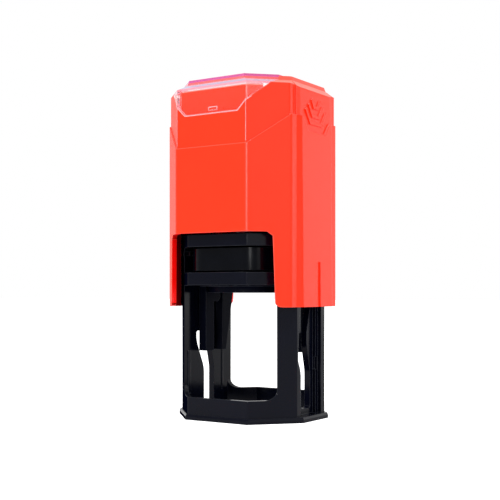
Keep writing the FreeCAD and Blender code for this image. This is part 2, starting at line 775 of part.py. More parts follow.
def stamp_head(inward, z_low, top):
    """The head's outline carried up to its bevel, its shoulder and its crown, or the same further in."""
    bevel_z = TOP - BEVEL_DROP - inward / 2
    shoulder_z = TOP - SHOULDER_DROP - inward / 2
    plan, shoulder, crown = (inset(outline, inward) for outline in (HEAD, SHOULDER, CROWN))
    body = octagon_prism(plan, z_low, bevel_z, HEAD_EDGE_RADIUS, HEAD_SIDE_RADIUS)
    bevel = octagon_taper(plan, bevel_z, shoulder, shoulder_z, HEAD_EDGE_RADIUS, HEAD_SIDE_RADIUS)
    rise = octagon_taper(shoulder, shoulder_z, crown, top, HEAD_EDGE_RADIUS, HEAD_SIDE_RADIUS)
    return body.fuse([bevel, rise])


def casing_sleeve():
    """The lower skin, a little proud, whose upper edge climbs the front corners."""
    side_top = TOP - STEP_SIDE_DROP
    front_top = TOP - STEP_FRONT_DROP
    sleeve = octagon_prism(CASING, CASING_Z, side_top, SLEEVE_EDGE_RADIUS, SLEEVE_SIDE_RADIUS)
    above = prism_along_y(
        [
            (-CASING.width, side_top + PAST),
            (-CASING.width, side_top),
            (-CASING.front, front_top),
            (CASING.front, front_top),
            (CASING.width, side_top),
            (CASING.width, side_top + PAST),
        ],
        -CASING.depth - PAST,
        -CASING.side,
    )
    return sleeve.cut(both_ends(above))


def panel_face(z):
    """How far out the side panel's face stands at a height; it leans in a little towards the top."""
    return PANEL_OUTER - PANEL_DRAFT * (z - CASING_Z) / (TOP - CASING_Z)


def panel_section(outer, z):
    root = CASING.width - PANEL_ROOT
    corners = [
        V(root, -PANEL_HALF, z),
        V(CASING.width, -PANEL_HALF, z),
        V(outer, -PANEL_FACE_HALF, z),
        V(outer, PANEL_FACE_HALF, z),
        V(CASING.width, PANEL_HALF, z),
        V(root, PANEL_HALF, z),
    ]
    radius = PANEL_EDGE_RADIUS
    return rounded_wire(corners, [0.0, 0.0, radius, radius, 0.0, 0.0])


def side_panel(inward, outline):
    """One raised side panel with sloping flanks, trimmed to an outline in Y and Z."""
    sections = [panel_section(panel_face(z) - inward, z) for z in (CASING_Z, TOP)]
    slab = Part.makeLoft(sections, True, True)
    return slab.common(prism_along_x(outline, 0, PANEL_OUTER + PAST))


def lower_panel():
    side_top = TOP - STEP_SIDE_DROP
    outline = [
        (-PANEL_HALF, CASING_Z),
        (-PANEL_HALF, side_top),
        (-VEE_TOP_HALF, side_top),
        (-VEE_BOTTOM_HALF, TOP - VEE_BOTTOM_DROP),
        (VEE_BOTTOM_HALF, TOP - VEE_BOTTOM_DROP),
        (VEE_TOP_HALF, side_top),
        (PANEL_HALF, side_top),
        (PANEL_HALF, CASING_Z),
    ]
    return side_panel(0, outline)


def upper_panel():
    bevel_z = TOP - PANEL_BEVEL_DROP
    outer = panel_face(bevel_z) - UPPER_INSET
    top = TOP - CROWN_DROP
    outline = [(-PANEL_HALF, CASING_Z), (-PANEL_HALF, top), (PANEL_HALF, top), (PANEL_HALF, CASING_Z)]
    bevel = prism_along_y(
        [
            (outer, bevel_z),
            (SHOULDER.width, TOP - SHOULDER_DROP),
            (CROWN.width, TOP),
            (CROWN.width, TOP + PAST),
            (outer + PAST, TOP + PAST),
            (outer + PAST, bevel_z),
        ],
        -PANEL_HALF - PAST,
        PANEL_HALF + PAST,
    )
    return side_panel(UPPER_INSET, outline).cut(bevel)


def chevrons():
    """The nested grip chevrons on the upper part of the right side panel."""
    face = panel_face(TOP - CHEVRONS[0][1]) - UPPER_INSET
    ribs = []
    for top_half, top_drop, bottom_half, bottom_drop in CHEVRONS:
        points = [
            (-top_half, TOP - top_drop),
            (-bottom_half, TOP - bottom_drop),
            (bottom_half, TOP - bottom_drop),
            (top_half, TOP - top_drop),
        ]
        outline = stroke_outline(points, CHEVRON_WIDTH)
        ribs.append(prism_along_x(outline, face - CHEVRON_PROUD, face + CHEVRON_PROUD))
    return ribs[0].fuse(ribs[1:])


def casing_window():
    """The front window, open at the foot, with chamfered upper and flared lower corners."""
    flare = WINDOW_FOOT_HALF + WINDOW_FOOT_RADIUS
    slant = (WINDOW_FOOT_HALF - WINDOW_TOP_HALF) / (WINDOW_TOP - CASING_Z)
    foot_z = CASING_Z + WINDOW_FOOT_RADIUS
    foot_half = WINDOW_FOOT_HALF - slant * WINDOW_FOOT_RADIUS
    y0 = -CASING.depth - PAST
    centre = V(foot_half + WINDOW_FOOT_RADIUS, y0, foot_z)
    diagonal = WINDOW_FOOT_RADIUS / math.sqrt(2)
    right = Part.Arc(
        centre + V(0, 0, -WINDOW_FOOT_RADIUS),
        centre + V(-diagonal, 0, -diagonal),
        centre + V(-WINDOW_FOOT_RADIUS, 0, 0),
    ).toShape()
    places = [
        (foot_half, foot_z),
        (WINDOW_TOP_HALF, WINDOW_TOP - WINDOW_CHAMFER),
        (WINDOW_TOP_HALF - WINDOW_CHAMFER, WINDOW_TOP),
        (0, WINDOW_TOP),
        (0, CASING_Z - PAST),
        (flare, CASING_Z - PAST),
        (foot_half + WINDOW_FOOT_RADIUS, CASING_Z),
    ]
    edges = [right]
    for (x0, z0), (x1, z1) in zip(places, places[1:]):
        edges.append(Part.makeLine(V(x0, y0, z0), V(x1, y0, z1)))
    depth = CASING.depth + PAST - WINDOW_REACH
    half = Part.Face(Part.Wire(edges)).extrude(V(0, depth, 0))
    return both_sides(half)


def cap_region(shrink):
    """The upright outline that the clear cap fills, run through from front to back."""
    outline = [
        (LIP_HALF - shrink, TOP - LIP_DROP + shrink),
        (LIP_TOP_HALF - shrink, TOP - LIP_TOP_DROP + shrink),
        (LIP_TOP_HALF - shrink, TOP + PAST),
    ]
    mirrored = [(-x, z) for x, z in outline[::-1]]
    return prism_along_y(outline + mirrored, -CASING.depth - PAST, CASING.depth + PAST)


def casing():
    upper = stamp_head(0, CASING_Z, TOP)
    panels = both_sides(upper_panel().fuse([lower_panel(), chevrons()]))
    body = upper.fuse([casing_sleeve(), panels])
    reach = PANEL_OUTER + PAST
    body = body.cut(box(-reach, reach, -reach, reach, TOP - CROWN_DROP, TOP + PAST))
    recess = cap_region(0).cut(stamp_head(CAP_WALL + CAP_FACE_GAP, CASING_Z, CARD_Z))
    body = body.cut(recess)
    catch = box(
        -CATCH_HALF,
        CATCH_HALF,
        -HEAD.depth + CAP_WALL + CAP_FACE_GAP - CATCH_PROUD,
        -CASING.depth + UPPER_WALL,
        TOP - CATCH_LOW_DROP,
        TOP - CATCH_HIGH_DROP,
    )
    body = body.fuse(both_ends(catch))
    body = body.cut(casing_cavity())
    body = body.cut(both_ends(casing_window()))
    groove = box(
        PANEL_OUTER - GROOVE_DEPTH, PANEL_OUTER + PAST, GROOVE[0], GROOVE[1], CASING_Z - PAST, GROOVE_TOP
    )
    return one_solid(body.cut(both_sides(groove)))


def casing_cavity():
    """The hollow of the casing, narrower in its head, with a pocket behind each side panel."""
    head_z = TOP - UPPER_CAVITY_BELOW_TOP
    main = octagon_prism(inset(CASING, CASING_WALL), CASING_Z - PAST, head_z)
    head = octagon_prism(inset(CASING, UPPER_INSET + UPPER_WALL), head_z, CEILING)
    step_z = LINER_TOP + POCKET_PAST_LINER
    pocket = box(-POCKET_OUTER, POCKET_OUTER, -POCKET_HALF, POCKET_HALF, CASING_Z - PAST, step_z)
    upper_reach = UPPER_ARM_OUTER + CASING_TO_ARM
    upper_pocket = box(
        -upper_reach, upper_reach, -POCKET_HALF, POCKET_HALF, step_z, CEILING - POCKET_BELOW_CEILING
    )
    return main.fuse([head, pocket, upper_pocket])


# Clear cap and index card

def clear_cap():
    shell = stamp_head(0, CASING_Z, TOP).common(cap_region(CAP_GAP))
    return one_solid(shell.cut(stamp_head(CAP_WALL, CASING_Z, CAP_PLATE_Z)))


def index_card():
    plan = inset(CROWN, CAP_WALL + CAP_FACE_GAP)
    card = octagon_prism(plan, CARD_Z, CARD_Z + CARD_THICKNESS, HEAD_SIDE_RADIUS, HEAD_SIDE_RADIUS)
    half = LIP_TOP_HALF - CARD_MARGIN
    return one_solid(card.common(box(-half, half, -CASING.depth, CASING.depth, CARD_Z, TOP)))


def build():
    pin = axle_pin()
    parts = {
        "foot_ring": foot_ring(),
        "frame": frame(),
        "die_carrier": die_carrier(),
        "axle_pin_right": pin,
        "axle_pin_left": pin.mirror(V(0, 0, 0), V(1, 0, 0)),
        "foam_cushion": foam_cushion(),
        "rubber_die": rubber_die(),
        "cartridge_tray": cartridge_tray(),
        "pad_cloth": pad_cloth(),
        "ink_pad": ink_pad(),
        "yoke": yoke(),
        "return_spring": return_spring(),
        "casing": casing(),
        "clear_cap": clear_cap(),
        "index_card": index_card(),
    }
    os.makedirs("parts", exist_ok=True)
    for name, shape in parts.items():
        if not shape.isValid():
            raise ValueError(name + " is not a valid shape")
        shape.exportStep("parts/%s.step" % name)
    print("wrote %d parts, overall height %.2f mm, width %.2f mm, depth %.2f mm" % (
        len(parts), TOP, 2 * PANEL_OUTER, 2 * CASING.depth))


build()
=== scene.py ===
import math

import bmesh
import bpy
from bpy.props import FloatProperty, FloatVectorProperty, IntProperty, PointerProperty
from bpy.types import NodeSocket, Operator, Panel, PropertyGroup
from mathutils import Matrix, Vector


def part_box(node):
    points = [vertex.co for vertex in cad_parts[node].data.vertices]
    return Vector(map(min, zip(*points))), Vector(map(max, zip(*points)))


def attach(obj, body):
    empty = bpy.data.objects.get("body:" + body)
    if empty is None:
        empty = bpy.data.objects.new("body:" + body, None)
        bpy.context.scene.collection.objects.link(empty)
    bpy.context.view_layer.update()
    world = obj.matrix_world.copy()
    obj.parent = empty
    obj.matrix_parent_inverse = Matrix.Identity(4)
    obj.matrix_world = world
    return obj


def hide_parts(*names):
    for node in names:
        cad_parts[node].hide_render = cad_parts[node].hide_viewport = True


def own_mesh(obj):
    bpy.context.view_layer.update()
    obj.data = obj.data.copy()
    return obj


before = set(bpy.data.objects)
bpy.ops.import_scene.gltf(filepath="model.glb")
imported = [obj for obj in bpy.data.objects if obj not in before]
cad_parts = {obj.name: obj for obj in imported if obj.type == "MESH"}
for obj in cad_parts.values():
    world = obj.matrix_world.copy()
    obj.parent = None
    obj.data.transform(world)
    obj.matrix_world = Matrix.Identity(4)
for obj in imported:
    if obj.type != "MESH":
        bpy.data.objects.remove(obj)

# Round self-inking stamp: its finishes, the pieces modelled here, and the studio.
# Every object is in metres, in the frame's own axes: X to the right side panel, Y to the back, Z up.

bl_info = {
    "name": "Round Self-Inking Stamp",
    "version": (1, 0, 0),
    "blender": (4, 5, 0),
    "location": "View3D > Sidebar > Stamp",
    "description": "Dresses a round self-inking stamp and its studio",
    "category": "Object",
}

MM = 0.001
SPRING_LOW, SPRING_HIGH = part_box("return_spring")
PAD_LOW, PAD_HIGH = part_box("ink_pad")
CLOTH_LOW, CLOTH_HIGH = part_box("pad_cloth")
CUSHION_LOW, CUSHION_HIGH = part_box("foam_cushion")
DIE_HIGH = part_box("rubber_die")[1]
CAP_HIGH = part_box("clear_cap")[1]

# Facets of the pieces modelled here.
DISC_SIDES = 96
DISC_RINGS = 14
RIM_SEGMENTS = 4
WIRE_SIDES = 14
TURN_STEPS = 40

# Points and edges closer than this are level or the same.
TOUCHING = 1e-7

# Pitch of the spring's closed end turns, in thicknesses of its wire.
CLOSED_PITCH = 1.04

# How far a tint or a painted light fades out past its border.
THIN_FADE = 0.05 * MM
FADE = 0.1 * MM
WIDE_FADE = 0.2 * MM
LIP_FADE = 0.3 * MM

# How squarely a face looks along an axis, where a tint or a painted light starts and where it is full. One is
# squarely.
SLOPING = (0.15, 0.6)
LEVEL = (0.93, 0.98)
SQUARELY = (0.9, 0.98)
DOWNWARDS = (-0.5, -0.8)

# How far a face's plane lies behind the stamp's axis, where a wall starts to count as an inner one.
BEHIND_AXIS = (-3.0 * MM, -4.0 * MM)

# The middle stretch of a noise's values, over which a finish changes.
SPREAD = (0.3, 0.7)

# Painted shade: the faces that look to the left front lie in the dark and lose their shine, and the side
# faces shine less than the rest.
DARK_SIDE = (-0.73, -0.68, 0.0)
SIDE_SHINE = 0.6

# How far down the cap's bevel its painted grey reflection of the sky reaches.
BEVEL_REFLECTION_SHARE = 0.85

# The painted glow of the casing's cut edges, and how clear the cap stays where light is painted on it.
PAINTED_CUT_GLOW = 0.3
EDGE_CLARITY = 0.2

WHITE = (1.0, 1.0, 1.0, 1.0)
FLOOR_HALF = 3.0
FLOOR_COLOUR = (0.9, 0.9, 0.9, 1.0)
FLOOR_GLOW = 0.78

# How strong the world is as a light, and where it shows as the background.
WORLD_LIGHT, WORLD_SHOWN = 0.62, 1.0

# Each lamp's name, place, power in watts and the side of its square. All aim at the stamp's middle.
LAMPS = (
    ("key", (-0.35, -0.55, 0.45), 4.3, 0.5),
    ("fill", (0.62, -0.25, 0.30), 1.7, 0.5),
    ("top", (0.0, 0.05, 0.7), 1.6, 0.5),
    ("rim", (0.42, 0.58, 0.10), 0.75, 0.35),
    ("glint", (0.14, -0.60, 0.16), 4.0, 0.12),
)
LAMP_AIM = Vector((0, 0, 0.05))


def colour(name, description, default):
    return FloatVectorProperty(
        name=name, description=description, default=default, subtype="COLOR", min=0, max=1
    )


def length(name, description, default):
    return FloatProperty(name=name, description=description, default=default, unit="LENGTH", min=0)


class StampSizes(PropertyGroup):
    """Sizes of the pieces modelled here, and the places where a finish or a painted light changes."""

    wire: length("Spring wire", "Thickness of the return spring's wire", 0.9 * MM)
    active_turns: IntProperty(
        name="Active turns", description="Open turns of the return spring", default=5, min=1
    )
    felt_edge: length("Felt edge", "Rounding of the felt pad's edge", 0.35 * MM)
    cloth_edge: length("Cloth edge", "Rounding of the pad cloth's edge", 0.12 * MM)
    foam_edge: length("Foam edge", "Rounding of the foam cushion's edge", 0.15 * MM)
    moulded_edge: length("Moulded edge", "Rounding of the moulded edges", 0.22 * MM)
    highlight_width: length("Polished edge", "Width of the light along the casing's edges", 0.32 * MM)
    panel_face: length("Panel face", "From the middle plane to the side panels' grips", 20.7 * MM)
    window_half: length("Window", "From the middle plane to just past the window's sides", 18.0 * MM)
    crown_half: length("Crown", "From the middle plane to just past the head's front corners", 12.5 * MM)
    head_top: length("Head top", "From the cap's top down to the head's upright edges", 4.4 * MM)
    head_foot: length("Head foot", "From the cap's top down to the step in the casing's front", 18.5 * MM)
    # Where the bands of painted light down the cap's side end.
    cap_rim_light: length("Cap rim", "From the cap's top down to the foot of its tinted rim", 0.75 * MM)
    cap_plate: length("Cap plate", "From the cap's top down to the underside of its plate", 1.2 * MM)
    cap_shoulder: length("Cap shoulder", "From the cap's top down to the top of its bevel", 1.55 * MM)
    cap_bevel: length("Cap bevel", "From the cap's top down to the foot of its bevel", 2.8 * MM)
    cap_fold: length("Cap fold", "From the cap's top down past the line under its bevel", 3.15 * MM)
    lip_side: length("Cap lip", "From the middle plane to the side ends of the cap's lips", 14.7 * MM)
    ink_depth: length("Ink depth", "How far down the die's relief the ink reaches", 0.3 * MM)


class StampFinishes(PropertyGroup):
    """Colours of the finishes, and of the highlights, reflections, glow and shade painted onto them."""

    orange: colour("Casing", "Fluorescent orange-red of the casing", (1.0, 0.031, 0.006))
    # Painted glow and shade: a deep red for the window's cut edges, which also glow, and for faces that look
    # down.
    red_glow_and_shade: colour("Casing, cut edges", "The window's edges, which glow red", (1.0, 0.003, 0.002))
    # Painted shade on the casing's inner walls.
    inside: colour("Casing, inside", "The casing's dim inner walls", (0.25, 0.001, 0.001))
    # Painted highlights: along the casing's edges, and brighter along the head's upright edges.
    edge_highlight: colour("Casing edges", "The casing where light runs along its edges", (1.0, 0.085, 0.05))
    # Painted light on the casing's faces that slope up to the sky.
    painted_sky_light: colour("Casing bevels", "The casing where it slopes to the sky", (1.0, 0.20, 0.16))
    bright: colour("Head edges", "The crisp edges of the casing's head", (1.0, 0.52, 0.58))
    black: colour("Black parts", "Black of the frame and the yoke", (0.0008, 0.0012, 0.0046))
    # Painted highlight along the black plastic's edges.
    black_edge_highlight: colour("Black edges", "The black plastic along its edges", (0.03, 0.033, 0.042))
    cartridge: colour("Cartridge", "Black of the ink cartridge", (0.0004, 0.0008, 0.0022))
    clear: colour("Clear cap", "Tint of the clear cap", (1.0, 0.97, 0.97))
    # Painted light on the clear cap: highlights on its edges and lip ends, bands at its rim and under its rim
    # and bevel, and a painted reflection of the sky on its bevel.
    cap_edge_highlight: colour("Cap edges", "The clear plastic along its edges", (0.95, 0.55, 0.64))
    lip_end_light: colour("Cap lip ends", "The side ends of the clear cap's lips", (0.95, 0.94, 0.97))
    cap_rim_light: colour("Cap rim", "The rim of the clear cap's top plate", (0.50, 0.11, 0.31))
    cap_line_light: colour("Cap line", "The line under the clear cap's rim", (1.0, 0.14, 0.14))
    cap_bevel: colour("Cap bevel", "The bevel round the clear cap", (0.40, 0.43, 0.55))
    cap_fold: colour("Cap fold", "The line under the clear cap's bevel", (0.85, 0.30, 0.36))
    card: colour("Card", "Stock of the index card", (1.0, 0.12, 0.07))
    rubber: colour("Die", "Rubber of the die", (0.28, 0.055, 0.045))
    foam: colour("Foam", "Foam under the die", (0.055, 0.058, 0.065))
    felt: colour("Felt", "Felt soaked with ink", (0.018, 0.018, 0.06))
    cloth: colour("Pad cloth", "Woven cover of the ink pad, wet with ink", (0.014, 0.014, 0.055))
    steel: colour("Steel", "Steel of the pins and the spring", (0.52, 0.52, 0.54))


class StampStudio(PropertyGroup):
    """Where the camera stands, and its lens."""

    azimuth: FloatProperty(
        name="Azimuth", description="How far the camera stands to the right of the front",
        default=math.radians(33.0), unit="ROTATION",
    )
    distance: length("Distance", "Distance of the camera from the stamp's axis", 286.0 * MM)
    side_step: length("Side step", "How far left of the line to the axis the camera stands", 0.7 * MM)
    eye_height: length("Eye height", "Height of the camera over the desk", 36.28 * MM)
    focal_length: FloatProperty(name="Lens", description="Focal length", default=71.0, unit="CAMERA")
    rise: FloatProperty(name="Rise", description="Upward shift of the lens", default=0.0802)


# Shader nodes

class Graph:
    """A tree of shader nodes, with short calls for adding and joining them."""

    def __init__(self, tree):
        self.tree = tree

    def node(self, kind, inputs=None, **settings):
        made = self.tree.nodes.new("ShaderNode" + kind)
        for name, value in settings.items():
            setattr(made, name, value)
        for key, value in (inputs or {}).items():
            self.put(made.inputs[key], value)
        return made

    def put(self, socket, value):
        """Links a socket to another one, or sets its value."""
        if isinstance(value, NodeSocket):
            self.tree.links.new(value, socket)
        else:
            socket.default_value = value

    def math(self, operation, a, b=0.0):
        return self.node("Math", {0: a, 1: b}, operation=operation).outputs[0]

    def unsigned(self, value):
        return self.math("ABSOLUTE", value)

    def times(self, first, *others):
        for other in others:
            first = self.math("MULTIPLY", first, other)
        return first

    def most(self, first, *others):
        for other in others:
            first = self.math("MAXIMUM", first, other)
        return first

    def ramp(self, value, low, high, to_low=0.0, to_high=1.0):
        """Turns one range of values into another, and holds to its ends."""
        return self.node("MapRange", {0: value, 1: low, 2: high, 3: to_low, 4: to_high}).outputs[0]

    def under(self, value, limit, fade=FADE):
        """One up to a limit, and nothing past it."""
        return self.ramp(value, limit, limit + fade, 1.0, 0.0)

    def over(self, value, limit, fade=FADE):
        """Nothing up to a limit, and one past it."""
        return self.ramp(value, limit, limit + fade)

    def band(self, value, low, high, fade=FADE):
        """One between two limits, and nothing outside them."""
        return self.math("SUBTRACT", self.over(value, low - fade, fade), self.over(value, high, fade))

    def split(self, vector):
        """The X, Y and Z of a vector."""
        return self.node("SeparateXYZ", {0: vector}).outputs

    def dot(self, a, b):
        return self.node("VectorMath", {0: a, 1: b}, operation="DOT_PRODUCT").outputs["Value"]

    def shows_background(self):
        """One for the rays that show the background: the camera's, and those by way of gloss or glass."""
        path = self.node("LightPath").outputs
        seen = self.most(path["Is Camera Ray"], path["Is Glossy Ray"], path["Is Transmission Ray"])
        return self.times(seen, self.math("LESS_THAN", path["Diffuse Depth"], 0.5))


class Finish(Graph):
    """The nodes of a material."""

    def __init__(self, name):
        self.material = bpy.data.materials.new(name)
        self.material.use_nodes = True
        super().__init__(self.material.node_tree)
        self.shader = self.tree.nodes["Principled BSDF"]
        self.place = self.node("TexCoord").outputs["Object"]

    def set(self, **inputs):
        """Sets or links the shader's own sockets."""
        for key, value in inputs.items():
            self.put(self.shader.inputs[key.replace("_", " ")], value)

    def mix(self, factor, a, b):
        return self.node("Mix", {0: factor, 6: a, 7: b}, data_type="RGBA").outputs[2]

    def noise(self, scale, detail=3.0, roughness=0.5, distortion=0.0, place=None):
        return self.node("TexNoise", {
            "Vector": place or self.place, "Scale": scale, "Detail": detail, "Roughness": roughness,
            "Distortion": distortion,
        }).outputs[0]

    def bump(self, height, strength, distance, normal=None):
        made = self.node("Bump", {"Height": height, "Strength": strength, "Distance": distance})
        if normal is not None:
            self.put(made.inputs["Normal"], normal)
        return made.outputs[0]

    def flat(self):
        """The way that a face looks, before any rounding or bump."""
        return self.node("NewGeometry").outputs["True Normal"]

    def rounded(self, radius):
        """The way that a face looks once its edges are rounded."""
        return self.node("Bevel", {"Radius": radius}, samples=8).outputs[0]

    def along_edges(self, radius, start=0.97, full=0.85):
        """One along the edges of the piece, and nothing on its open faces."""
        return self.ramp(self.dot(self.rounded(radius), self.flat()), start, full)


def rgba(values):
    return (*values, 1.0)


def shaded(values, factor):
    return rgba(min(1.0, value * factor) for value in values)


def orange_plastic(finishes, sizes):
    """Fluorescent plastic, with painted highlights along its edges and on faces that slope to the sky,
    painted shade on its inner walls and on faces that look down, and a painted red glow where the window is
    cut.
    """
    graph = Finish("orange_plastic")
    drift = graph.noise(scale=90.0, detail=2.0)
    grain = graph.noise(scale=2600.0, detail=2.0, roughness=0.6)
    base = graph.mix(graph.ramp(drift, *SPREAD), shaded(finishes.orange, 0.94), rgba(finishes.orange))

    place = graph.split(graph.place)
    side = graph.unsigned(place[0])
    flat = graph.flat()
    facing = graph.split(flat)

    # The distance from the stamp's axis to a face's plane is below zero where the face looks inwards.
    level_place = graph.node("VectorMath", {0: graph.place, 1: (1.0, 1.0, 0.0)}, operation="MULTIPLY")
    # The inner walls take a painted shade.
    inner = graph.ramp(graph.dot(level_place.outputs[0], flat), *BEHIND_AXIS)
    sideways = graph.ramp(graph.unsigned(facing[0]), *SQUARELY)
    jamb = graph.times(sideways, inner, graph.under(side, sizes.window_half))
    # Painted glow and shade: the window's cut edges glow deep red, and faces that look down take the same red
    # as shade.
    cut = graph.most(jamb, graph.ramp(facing[2], *DOWNWARDS))
    base = graph.mix(cut, graph.mix(inner, base, rgba(finishes.inside)), rgba(finishes.red_glow_and_shade))

    # Painted highlight along the edges, except in the grips, brightest along the head's upright ones.
    off_panel = graph.under(side, sizes.panel_face - FADE)
    edges = graph.times(graph.along_edges(sizes.highlight_width, 0.992, 0.95), off_panel)
    head = graph.band(place[2], CAP_HIGH.z - sizes.head_foot, CAP_HIGH.z - sizes.head_top, WIDE_FADE)
    head = graph.times(head, graph.under(side, sizes.crown_half))
    light = graph.mix(head, rgba(finishes.edge_highlight), rgba(finishes.bright))
    lined = graph.mix(edges, base, light)
    # Painted sky light on faces that slope upwards, but not on level tops.
    painted_sky_light = graph.math("SUBTRACT", graph.ramp(facing[2], *SLOPING), graph.ramp(facing[2], *LEVEL))
    graph.set(
        Base_Color=graph.mix(painted_sky_light, lined, rgba(finishes.painted_sky_light)),
        Roughness=graph.ramp(grain, *SPREAD, 0.30, 0.42),
        IOR=1.5,
        Specular_IOR_Level=0.14,
        # Painted glow on the window's cut edges.
        Emission_Color=rgba(finishes.red_glow_and_shade),
        Emission_Strength=graph.times(jamb, PAINTED_CUT_GLOW),
        Normal=graph.bump(grain, 0.12, 0.02 * MM, graph.rounded(sizes.moulded_edge)),
    )
    return graph.material


def black_plastic(finishes, sizes, name="black_plastic", tint=None, roughness=0.12, shine=0.075):
    """Moulded black plastic, with a painted highlight along its edges and painted shade on faces that look to
    the sides.
    """
    graph = Finish(name)
    tint = tint or finishes.black
    drift = graph.noise(scale=140.0)
    grain = graph.noise(scale=3200.0, detail=2.0, roughness=0.6)
    base = graph.mix(graph.ramp(drift, *SPREAD), rgba(tint), shaded(tint, 1.35))
    # Painted highlight along the edges.
    edges = graph.along_edges(sizes.moulded_edge)
    flat = graph.flat()
    sideways = graph.unsigned(graph.split(flat)[0])
    # Painted shade: the shine is cut on faces that look to the sides, and taken away on faces that look to
    # the left front.
    painted_side_shade = graph.ramp(sideways, *SQUARELY, shine, SIDE_SHINE * shine)
    lit = graph.ramp(graph.dot(flat, DARK_SIDE), *SQUARELY, 1.0, 0.0)
    graph.set(
        Base_Color=graph.mix(edges, base, rgba(finishes.black_edge_highlight)),
        Roughness=graph.ramp(drift, *SPREAD, roughness, roughness + 0.1),
        IOR=1.5,
        Specular_IOR_Level=graph.times(painted_side_shade, lit),
        Normal=graph.bump(grain, 0.08, 0.02 * MM, graph.rounded(sizes.moulded_edge)),
    )
    return graph.material


def clear_plastic(finishes, sizes):
    """Clear plastic, with painted light on its edges, rim, folds and the ends of its lips, and a painted
    reflection of the sky on its bevel.
    """
    graph = Finish("clear_plastic")
    haze = graph.noise(scale=220.0)
    clear = graph.mix(graph.ramp(haze, 0.35, 0.75), rgba(finishes.clear), shaded(finishes.clear, 0.97))
    # Painted highlight along the cap's edges.
    edges = graph.along_edges(sizes.moulded_edge, 0.99, 0.9)

    place = graph.split(graph.place)
    drop = graph.math("SUBTRACT", CAP_HIGH.z, place[2])
    middle = sizes.cap_shoulder + BEVEL_REFLECTION_SHARE * (sizes.cap_bevel - sizes.cap_shoulder)
    # Bands of painted light down the cap's side, and a painted reflection of the sky on the bevel.
    rim = graph.band(drop, THIN_FADE, sizes.cap_rim_light, THIN_FADE)
    line = graph.band(drop, sizes.cap_rim_light + THIN_FADE, sizes.cap_plate, THIN_FADE)
    bevel = graph.band(drop, sizes.cap_shoulder, middle)
    fold = graph.band(drop, middle + THIN_FADE, sizes.cap_fold)
    ends = graph.times(
        graph.over(graph.unsigned(place[0]), sizes.lip_side, LIP_FADE),
        graph.over(drop, sizes.cap_fold, WIDE_FADE),
    )

    # The painted light goes over the clear plastic, which lets less light through where it is painted.
    tinted = clear
    for mask, tint in (
        (edges, finishes.cap_edge_highlight), (ends, finishes.lip_end_light), (line, finishes.cap_line_light),
        (rim, finishes.cap_rim_light), (bevel, finishes.cap_bevel), (fold, finishes.cap_fold),
    ):
        tinted = graph.mix(mask, tinted, rgba(tint))
    painted_light = graph.most(edges, ends, rim, line, bevel, fold)
    graph.set(
        Base_Color=tinted,
        Roughness=graph.ramp(haze, 0.3, 0.8, 0.02, 0.05),
        IOR=1.25,
        Specular_IOR_Level=0.2,
        Transmission_Weight=graph.ramp(painted_light, 0.0, 1.0, 1.0, EDGE_CLARITY),
        Normal=graph.bump(haze, 0.01, 0.03 * MM),
    )
    return graph.material


def card_stock(finishes):
    """Matt card with short fibres."""
    graph = Finish("card_stock")
    fibres = graph.noise(scale=1500.0, detail=4.0, distortion=1.5)
    graph.set(
        Base_Color=graph.mix(graph.ramp(fibres, *SPREAD), shaded(finishes.card, 0.95), rgba(finishes.card)),
        Roughness=0.85,
        Specular_IOR_Level=0.2,
        Normal=graph.bump(fibres, 0.25, 0.03 * MM),
    )
    return graph.material


def die_rubber(finishes, sizes):
    """Rubber, wet with ink on top of its relief."""
    graph = Finish("die_rubber")
    ink = graph.noise(scale=260.0, detail=4.0, roughness=0.6)
    on_face = graph.ramp(graph.split(graph.place)[2], DIE_HIGH.z - sizes.ink_depth, DIE_HIGH.z - FADE)
    wet = graph.times(on_face, graph.ramp(ink, 0.35, 0.55, 0.7, 1.0))
    base = graph.mix(graph.ramp(ink, *SPREAD), rgba(finishes.rubber), shaded(finishes.rubber, 0.8))
    graph.set(
        Base_Color=graph.mix(wet, base, rgba(finishes.cloth)),
        Roughness=graph.ramp(wet, 0.0, 1.0, 0.62, 0.3),
        Specular_IOR_Level=0.35,
        Normal=graph.bump(graph.noise(scale=4200.0, detail=2.0), 0.2, 0.03 * MM),
    )
    return graph.material


def foam_rubber(finishes):
    """Foam with open cells."""
    graph = Finish("foam_rubber")
    cells = graph.node("TexVoronoi", {"Vector": graph.place, "Scale": 2600.0}).outputs["Distance"]
    graph.set(
        Base_Color=graph.mix(graph.ramp(cells, 0.1, 0.6), shaded(finishes.foam, 0.4), rgba(finishes.foam)),
        Roughness=0.9,
        Specular_IOR_Level=0.15,
        Normal=graph.bump(cells, 0.6, 0.08 * MM),
    )
    return graph.material


def felt(finishes):
    """Pressed felt, its fibres tangled."""
    graph = Finish("felt")
    fibres = graph.noise(scale=1800.0, detail=6.0, distortion=3.0)
    graph.set(
        Base_Color=graph.mix(graph.ramp(fibres, 0.35, 0.65), rgba(finishes.felt), shaded(finishes.felt, 2.2)),
        Roughness=0.8,
        Sheen_Weight=0.3,
        Specular_IOR_Level=0.2,
        Normal=graph.bump(fibres, 0.7, 0.12 * MM),
    )
    return graph.material


def woven_cloth(finishes):
    """A fine plain weave, damp in places."""
    graph = Finish("woven_cloth")
    warp, weft = (
        graph.node("TexWave", {"Vector": graph.place, "Scale": 620.0}, bands_direction=way).outputs[1]
        for way in ("X", "Y")
    )
    weave = graph.times(warp, weft)
    damp = graph.noise(scale=190.0)
    graph.set(
        Base_Color=graph.mix(weave, shaded(finishes.cloth, 0.5), shaded(finishes.cloth, 1.6)),
        Roughness=graph.ramp(damp, 0.35, 0.65, 0.3, 0.6),
        Specular_IOR_Level=0.4,
        Normal=graph.bump(weave, 0.6, 0.06 * MM),
    )
    return graph.material


